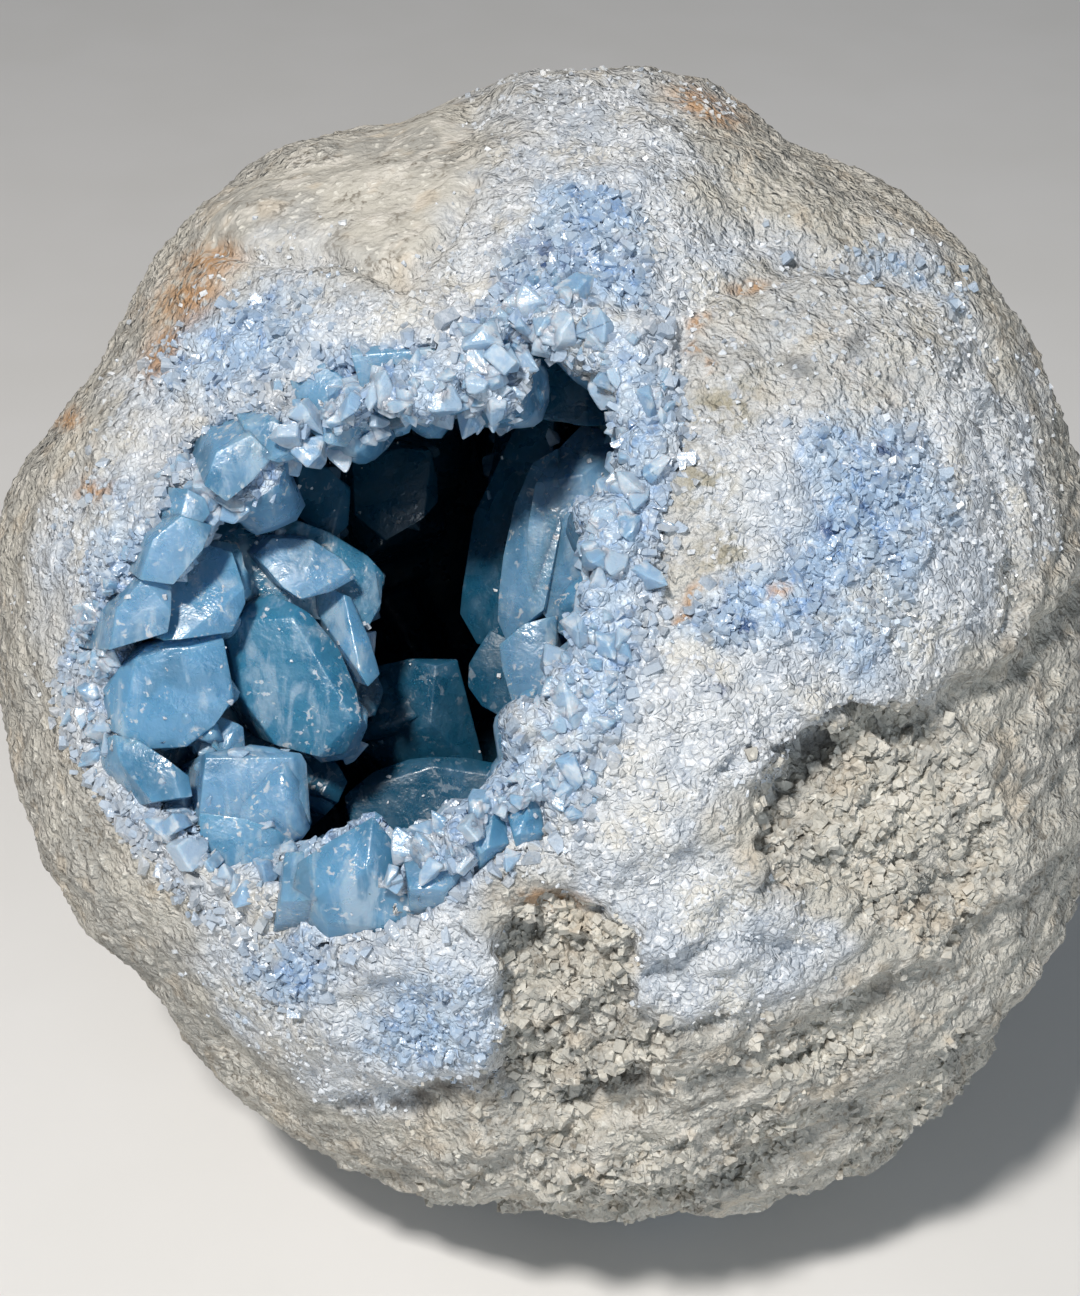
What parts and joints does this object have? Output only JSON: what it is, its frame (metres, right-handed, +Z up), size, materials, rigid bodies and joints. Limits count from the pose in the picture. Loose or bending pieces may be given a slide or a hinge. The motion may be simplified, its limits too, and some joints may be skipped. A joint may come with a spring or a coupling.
{
  "type": "celestite geode",
  "caption": "Rounded hollow geode of pale rock and massive celestite, open on one side to a hollow lined with blocky blue crystals, resting on a small flat spot.",
  "frame": {"origin": "on the ground flat, straight below the middle of the rock", "axes": "+Z up; -Y towards the side that the mouth faces, which looks 35 degrees above the horizontal; +X to the right of someone who looks into the mouth"},
  "size_m": [0.1855, 0.1863, 0.1834],
  "materials": {
    "geode_rock": "matte",
    "celestite_crystal": "gloss"
  },
  "bodies": {
    "root": {"rock_shell": "geode_rock", "crystal_crust": "celestite_crystal"}
  },
  "joints": []
}
